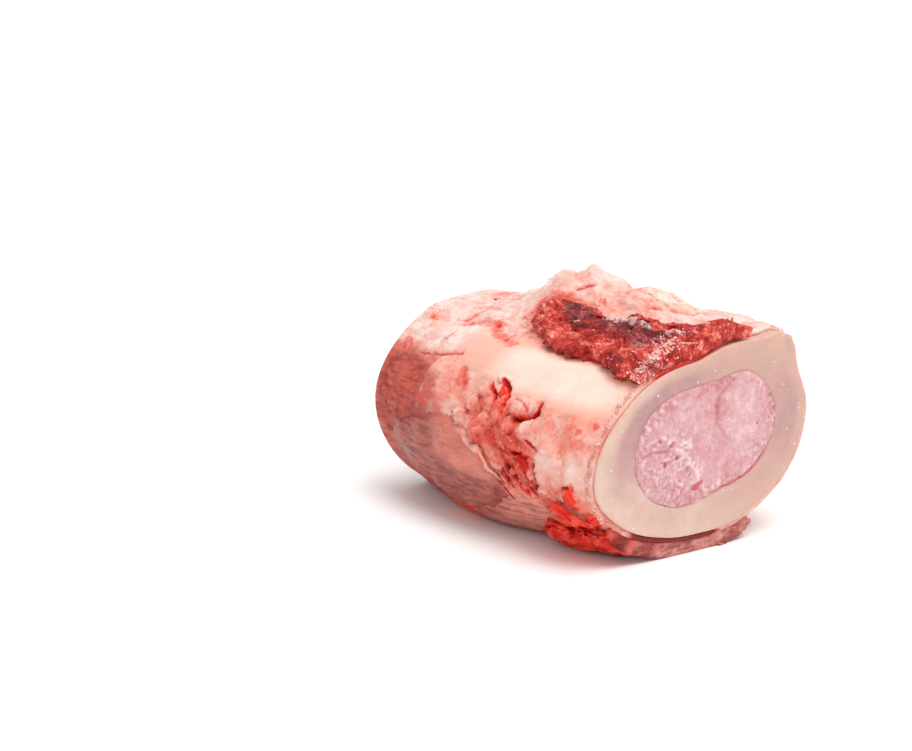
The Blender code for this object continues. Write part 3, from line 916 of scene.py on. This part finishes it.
def dress_muscle(start):
    broad = clouds(start, 5, 2, twist=0.8)
    middle = clouds(start, 1.8, 3, 0.6)
    fine = clouds(start, 0.4, 3, 0.7)
    grains = cells(start, 0.7)
    shades = cells(start, 0.7, "Color")
    fibres = clouds(start, 0.9, 3, 0.6, (0.25, 1, 1))
    deep = attribute(start, "deep")
    tone = 0.5 + (broad - 0.5) * 1.3 + (middle - 0.5) * 0.8 + (fine - 0.5) * 0.5 + (shades - 0.5) * 0.2
    # The gaps between lumps are painted darker: painted shade.
    tone = tone + (fibres - 0.5) * 0.3 - (grains - 0.4) * 0.3 - deep * 0.15
    tone = tone + attribute(start, "light") * 0.25
    base = tone.shade(
        (0, colour(92, 8, 8)), (0.3, colour(160, 26, 20)), (0.52, colour(206, 58, 44)),
        (0.75, colour(238, 126, 108)), (1, colour(252, 200, 190)))
    purple = attribute(start, "purple") + (broad - 0.5) * 0.8 + (middle - 0.5) * 0.5
    violet = tone.shade(
        (0.1, colour(84, 18, 26)), (0.45, colour(134, 44, 52)), (0.7, colour(186, 104, 106)),
        (1, colour(236, 190, 188)))
    base = (purple.rise(0.3, 0.8) * 0.85).mix(base, violet)
    frost = (attribute(start, "frost") + (middle - 0.5) * 1.4 + (fine - 0.5) * 1.2).rise(0.5, 0.95)
    base = (frost * 0.85).mix(base, fine.mix(colour(240, 184, 180), colour(255, 232, 230)))
    speck = 1 - cells(start, 1.5).rise(0.10, 0.2)
    speck = speck * clouds(start, 3, 1, shift=5).rise(0.48, 0.62)
    base = (speck * 0.75).mix(base, colour(252, 206, 196))
    return {
        "Base Color": base,
        "Roughness": 0.45 + frost * 0.2 - fibres * 0.1,
        "Coat Weight": 0.14 - frost * 0.12,
        "Normal": bumps(start, fibres * 0.7 + fine * 0.5 + speck * 0.5 - grains * 0.6, 0.4),
    }


meat_finish = make_finish(
    "muscle",
    soft(0.15, (1, 0.2, 0.15), 1.2, {"Specular IOR Level": 0.2, "Coat Roughness": 0.2}),
    dress_muscle)
top_tree = BVHTree.FromBMesh(top_bm)
settle("red_top_scrap", top_bm, meat_finish, "muscle", "top_muscle")

# The lower muscle: a strip of red and pink meat that hangs under the ring. Its near end is wet
# with blood and has a hollow painted on it in deep red as shade; its far part is pale, with a skin
# on it. A line along it under the ring and the gaps between its lumps are painted darker as shade.
PAINTED_HOLLOW = (0.6, 221)  # behind, degrees
LOWER_CUTS = 5
lower_bm = scrap_copy("lower_muscle", LOWER_CUTS, True)
wet_layer, painted_shade_layer, skin_layer = layers(lower_bm, "wet", "deep", "skin")
lower_upper = scrap_points(lower_bm)
lower_rims = fray(lower_bm, 1.8, 0.9)
lower_moves = []
for v in lower_bm.verts:
    behind, degrees = place_of(v.co)
    p = v.co / MM
    lump, gap = lobes(p, 3.4, 1.2, 6.2)
    grain, small_gap = lobes(p, 1.4, 1.5, 8.4)
    hollow = math.hypot(behind - PAINTED_HOLLOW[0], (degrees - PAINTED_HOLLOW[1]) * DEGREE * 0.7)
    folds = noise.noise(Vector((p.x * 0.5, p.y * 0.22, p.z * 0.22)))
    height = 0.7 * lump + 0.3 * grain + 0.9 * folds - 0.2
    height *= ease(0, 1.2, behind) * ease(0.3, 2.5, p.z)
    height -= 0.8 * lower_rims[v] * fall(214, 226, degrees)
    # deep: the hollow, a line along the ring's underside and the gaps between lumps, all painted darker as
    # shade.
    deep = fall(0.8, 2.2, hollow + 0.4 * noise.noise(p))
    under_ring = ((v.co - axis_point(v.co.x)).length - surface_radius(bone_tree, behind_cut(v.co))) / MM
    line = fall(0.6, 1.6, under_ring + 0.3 * noise.noise(p * 0.5)) * fall(0.5, 3, behind)
    deep = max(deep, line * (1 - 0.6 * ease(268, 284, degrees)))
    wet = fall(220, 240, degrees + 8 * noise.noise(p * 0.3))
    v[wet_layer] = wet * (0.4 + 0.6 * ease(0.2, 2, behind))
    v[skin_layer] = ease(232, 256, degrees + 10 * noise.noise(p * 0.25))
    v[painted_shade_layer] = max(deep, 0.5 * gap, 0.3 * small_gap)
    lower_moves.append((v, v.normal * height * (1 if v in lower_upper else 0.3) * MM))
move_points(lower_moves)


def dress_lower(start):
    broad = clouds(start, 3.5, 2)
    grain = clouds(start, 0.8, 4, 0.7)
    strings = clouds(start, 0.8, 3, 0.6, (1, 0.2, 1))
    base = (broad + (strings - 0.5) * 0.7).rise(0.35, 0.65).mix(colour(150, 56, 52), colour(198, 116, 110))
    wet = attribute(start, "wet") + (broad - 0.5) * 0.5
    base = wet.rise(0.25, 0.7).mix(base, broad.rise(0.4, 0.6).mix(colour(224, 22, 8), colour(248, 78, 54)))
    skin = attribute(start, "skin") + (grain - 0.5) * 0.5
    pink = (strings + (broad - 0.5) * 1.2).rise(0.3, 0.7).mix(colour(172, 88, 82), colour(222, 152, 142))
    base = skin.rise(0.25, 0.75).mix(base, pink)
    # Painted shade: the hollow, the line under the ring and the gaps between lumps.
    base = (attribute(start, "deep") * 0.8).mix(base, colour(104, 10, 8))
    return {
        "Base Color": base,
        "Roughness": 0.42 - wet.rise(0.3, 0.7) * 0.14,
        "Coat Weight": 0.05 + wet.rise(0.3, 0.7) * 0.08,
        "Normal": bumps(start, grain * 0.6 + strings * 0.4 + broad, 0.35),
    }


foot_finish = make_finish(
    "foot_meat",
    soft(0.2, (1, 0.25, 0.2), 1.4, {"Specular IOR Level": 0.2, "Coat Roughness": 0.15}),
    dress_lower)
lower_tree = BVHTree.FromBMesh(lower_bm)
settle("red_foot_scrap", lower_bm, foot_finish, "muscle", "lower_muscle")

# The sinew sheet: a thin pale skin that still holds on to the fascia, with a free front edge that
# curls a little off it. The free edge is painted paler as a highlight, and the lower part and the
# end further from the sawn face take a darker fascia colour, partly as painted shade.
SHEET_CUTS = 4
SHEET_BLOOD = (36, 190)  # behind, degrees
sheet_bm = scrap_copy("sinew_sheet", SHEET_CUTS)
fascia_shade_layer, spot_layer, edge_highlight_layer = layers(sheet_bm, "fade", "spot", "rim")
sheet_upper = scrap_points(sheet_bm)
sheet_rims = fray(sheet_bm, 2, 0.9)
sheet_moves = []
for v in sheet_bm.verts:
    behind, degrees = place_of(v.co)
    p = v.co / MM
    folds = noise.noise(Vector((p.x * 0.12 + p.z * 0.06, p.y * 0.5, p.z * 0.5)))
    free = fall(40, 52, behind) * fall(194, 201, degrees)
    above = cover_tree.find_nearest(v.co)[3] / MM
    height = (0.4 * folds + 0.14 * noise.noise(p * 0.8)) * (1 if v in sheet_upper else 0.2)
    sink = sheet_rims[v] * (max(0, above - 0.1) + 0.5) * (1 - free)
    # The free edge is painted paler: a painted highlight.
    v[edge_highlight_layer] = free * ease(0.6, 0.95, sheet_rims[v])
    blood_gap = math.hypot(behind - SHEET_BLOOD[0], (degrees - SHEET_BLOOD[1]) * DEGREE * 0.6)
    v[spot_layer] = 0.8 * fall(0.2, 0.9, blood_gap)
    # fade: the lower part and the end further from the sawn face take the fascia's darker colour, the
    # fascia beneath with painted shade.
    below = degrees - (199 - 0.2 * (behind - 30)) + 4 * noise.noise(p * 0.25)
    v[fascia_shade_layer] = max(ease(-4, 6, below), ease(36, 68, behind + 14 * noise.noise(p * 0.12)))
    sheet_moves.append((v, (v.normal * height - outward(v.co) * sink) * MM))
move_points(sheet_moves)


def dress_sinew(start):
    broad = clouds(start, 6, 2)
    grain = clouds(start, 0.8, 3, 0.6)
    strings = clouds(start, 0.9, 3, 0.6, (0.2, 1, 1))
    base = broad.rise(0.35, 0.65).mix(colour(216, 128, 110), colour(202, 108, 92))
    base = (strings.rise(0.5, 0.72) * 0.5).mix(base, colour(238, 170, 154))
    # The free edge, painted paler as a highlight.
    rim = (attribute(start, "rim") + (grain - 0.5) * 0.6).rise(0.3, 0.8)
    base = (rim * 0.65).mix(base, colour(250, 196, 182))
    base = attribute(start, "spot").mix(base, colour(214, 66, 46))
    # The fascia's darker colour on the lower part and far end: fascia with painted shade.
    shade = (attribute(start, "fade") + (strings - 0.5) * 0.6).rise(0, 1)
    base = shade.mix(base, strings.rise(0.3, 0.7).mix(colour(122, 44, 36), colour(186, 96, 82)))
    return {
        "Base Color": base,
        "Roughness": 0.42 - grain * 0.12,
        "Coat Weight": 0.08 + grain * 0.1,
        "Normal": bumps(start, strings + grain * 0.5, 0.35),
    }


settle("pale_sinew_skin", sheet_bm, make_finish(
    "sinew",
    soft(0.25, (1, 0.35, 0.25), 1.4, {"Specular IOR Level": 0.25, "Coat Roughness": 0.2}),
    dress_sinew), "sinew", "sinew_sheet")

# The tendon: a short pale yellowish strap on the far shoulder of the hump, in coarse bundles.
TENDON_CUTS = 4
tendon_bm = scrap_copy("tendon", TENDON_CUTS)
edge_layer = layers(tendon_bm, "edge")[0]
tendon_upper = scrap_points(tendon_bm)
tendon_rims = fray(tendon_bm, 1.4, 0.7)
tendon_moves = []
for v in tendon_bm.verts:
    p = v.co / MM
    lump, gap = lobes(p, 3.2, 2.6, 9.1)
    height = (0.7 * lump + 0.3 * noise.noise(p * 0.6) - 0.2) * (1 if v in tendon_upper else 0.3)
    above = cover_tree.find_nearest(v.co)[3] / MM
    sink = tendon_rims[v] * (max(0, above - 0.1) + 0.4)
    v[edge_layer] = max(0.35 * gap, 0.9 * tendon_rims[v])
    tendon_moves.append((v, (v.normal * height - outward(v.co) * sink) * MM))
move_points(tendon_moves)


def dress_tendon(start):
    broad = clouds(start, 2.6, 3, twist=0.8)
    strings = clouds(start, 0.7, 3, 0.6, (0.2, 1, 1))
    edge = attribute(start, "edge")
    base = broad.rise(0.35, 0.65).mix(colour(246, 220, 204), colour(234, 190, 168))
    base = (strings.rise(0.5, 0.75) * 0.5).mix(base, colour(214, 146, 124))
    pink = broad.rise(0.3, 0.7).mix(colour(246, 176, 162), colour(236, 124, 108))
    base = (edge + (broad - 0.5) * 1.2 + (strings - 0.5) * 0.6).rise(0.25, 0.75).mix(base, pink)
    return {
        "Base Color": base,
        "Roughness": 0.45 - strings * 0.15,
        "Normal": bumps(start, strings + broad, 0.5),
    }


settle("tendon_strap", tendon_bm, make_finish(
    "tendon",
    soft(0.3, (1, 0.5, 0.35), 1.5, {"Coat Weight": 0.2, "Coat Roughness": 0.2}),
    dress_tendon), "tendon", "tendon")

# Shreds of meat: torn fibres that stand off the muscle along its upper right edge, lie in the
# gully on the near side, and curl up on the crown. Each hangs on by one end.
FIRST_RADIUS = 30
SHRED_LIFT = 0.15 * MM
SHRED_FIELDS = (
    # tree, behind, degrees, count, half-length, turn, spread of turns, tilt
    (top_tree, 1.5, 9, 46, 72, 34, 2.2, 160, 40, 0.30),
    (top_tree, 8, 40, 88, 104, 16, 1.6, 170, 40, 0.12),
    (cover_tree, 16, 30, 184, 202, 14, 2.6, -40, 12, 0.05),
    (cover_tree, 72, 75, 85, 89, 3, 1.8, 160, 15, 0.6),
)
SHRED_SEED = 8


def spot(tree, behind, degrees):
    """The point of a surface at a place round the bone and the way it faces there, or None beside it."""
    away = Vector((0, math.cos(math.radians(degrees)), math.sin(math.radians(degrees))))
    radius = FIRST_RADIUS
    for _ in range(3):
        front = FRONT_X + math.tan(FRONT_SLANT) * radius * away.y
        x = front - (front - FRONT_X + CUT_LENGTH) * behind / CUT_LENGTH
        middle = axis_point(x * MM)
        point, facing, _, _ = tree.ray_cast(middle + away * WELL_OUTSIDE, -away, WELL_OUTSIDE)
        if point is None:
            return None
        radius = (point - middle).length / MM
    return point, facing if facing.dot(away) > 0 else -facing


def add_morsel(bm, at, facing, turn, size, tilt, seed, finer=3, ragged=0.3):
    """A soft scrap: a ball with these half-sizes in mm, roughened, turned on the surface and tilted."""
    made = bmesh.ops.create_icosphere(bm, subdivisions=finer, radius=1)["verts"]
    side = facing.cross(Vector((-1, 0, 0))).normalized()
    along = Matrix.Rotation(math.radians(turn), 3, facing) @ side.cross(facing)
    across = facing.cross(along)
    for v in made:
        p = v.co + noise.noise_vector(v.co * 1.1 + Vector((seed, 2 * seed, 0))) * ragged
        p += noise.noise_vector(v.co * 2.7 + Vector((0, seed, 3))) * ragged * 0.4
        rise = p.z * size[2] + tilt * p.x * size[0] + 0.12 * p.y * p.y * size[2]
        v.co = at + (along * p.x * size[0] + across * p.y * size[1] + facing * rise) * MM
    return made


random.seed(SHRED_SEED)
shred_bm = bmesh.new()
for tree, low, high, start_angle, end_angle, count, length, turn, spread, tilt in SHRED_FIELDS:
    for _ in range(count):
        place = spot(tree, random.uniform(low, high), random.uniform(start_angle, end_angle))
        if not place:
            continue
        point, facing = place
        size = (length * random.uniform(0.6, 1.3), random.uniform(0.25, 0.6), random.uniform(0.2, 0.4))
        add_morsel(shred_bm, point + facing * SHRED_LIFT, facing, turn + random.gauss(0, spread), size,
                   tilt * random.uniform(0.2, 1.2), random.uniform(0, 90), 2, 0.3)
settle("meat_shreds", shred_bm, meat_finish, "muscle")

# Bloody lumps: wet clots and scraps at the foot of the ring, where the gully ends. They bridge the
# cover and the strip of meat under it.
CLOTS = (
    # behind, degrees, half-length, half-width, half-thickness, turn
    (9.5, 203.5, 3.4, 2.3, 0.8, -50), (12.8, 206.5, 3.2, 1.8, 0.7, -40), (7.6, 208, 3, 2.2, 0.8, 10),
    (10.6, 211, 3.8, 2, 0.9, -30), (15.4, 210, 3, 1.3, 0.6, -40), (5, 210, 2.4, 1.7, 0.8, 30),
    (3.4, 206, 1.6, 1.2, 0.5, 0), (8, 214, 3.2, 1.8, 0.9, 0), (13, 214.6, 3, 1.5, 0.7, -20),
)
# Pale flaps on the far end of the strip: behind, degrees, half-length and turn.
FLAPS = ((1.2, 286, 2, 80), (2.4, 291, 1.8, 60), (1.6, 296, 1.7, 110), (3.6, 283, 1.6, 90))
clot_bm = bmesh.new()
wet_layer, skin_layer = layers(clot_bm, "wet", "skin")
for number, (behind, degrees, length, width, thick, turn) in enumerate(CLOTS):
    place = spot(cover_tree, behind, degrees)
    if place:
        at = place[0] - place[1] * SHRED_LIFT
        for v in add_morsel(clot_bm, at, place[1], turn, (length, width, thick), 0, 2.3 * number, 4, 0.6):
            v[wet_layer] = 0.9 - 0.45 * (number % 3 == 1)
for number, (behind, degrees, length, turn) in enumerate(FLAPS):
    place = spot(lower_tree, behind, degrees)
    if place:
        size = (length, 0.9, 0.4)
        for v in add_morsel(clot_bm, place[0], place[1], turn, size, 0.35, 5.1 * number, 4, 0.5):
            v[skin_layer] = 0.9
for v in clot_bm.verts:
    v.co.z = max(v.co.z, 0)
settle("bloody_lumps", clot_bm, foot_finish, "muscle")

# Crumbs: bone meal and fat that the saw threw up, stuck along the left rim of the ring and where
# the muscle meets it.
CRUMB_FIELDS = (
    # tree, behind, degrees, count, half-size
    (top_tree, 0.1, 3, 96, 142, 260, 0.24),
    (top_tree, 3, 8, 100, 130, 60, 0.2),
    (cover_tree, 0.1, 1.6, 140, 212, 260, 0.24),
)


def dress_crumbs(start):
    grain = clouds(start, 0.9, 3, 0.6)
    broad = clouds(start, 2.4, 2)
    base = broad.rise(0.35, 0.65).mix(colour(250, 196, 186), colour(236, 132, 118))
    return {
        "Base Color": (grain.rise(0.5, 0.7) * 0.5).mix(base, colour(255, 238, 232)),
        "Roughness": 0.5 - grain * 0.15,
        "Normal": bumps(start, grain, 0.2),
    }


crumb_bm = bmesh.new()
for tree, low, high, start_angle, end_angle, count, common_half in CRUMB_FIELDS:
    for _ in range(count):
        place = spot(tree, random.uniform(low, high), random.uniform(start_angle, end_angle))
        if not place:
            continue
        point, facing = place
        half = common_half * random.uniform(0.5, 1.4)
        turn = random.uniform(0, 360)
        size = (half * random.uniform(1, 1.6), half, half * 0.8)
        add_morsel(crumb_bm, point + facing * 0.3 * half * MM, facing, turn, size, 0,
                   random.uniform(0, 90), 1, 0.35)
settle("saw_crumbs", crumb_bm, make_finish(
    "crumbs",
    soft(0.25, (1, 0.45, 0.35), 1, {"Specular IOR Level": 0.3}),
    dress_crumbs), "fat")
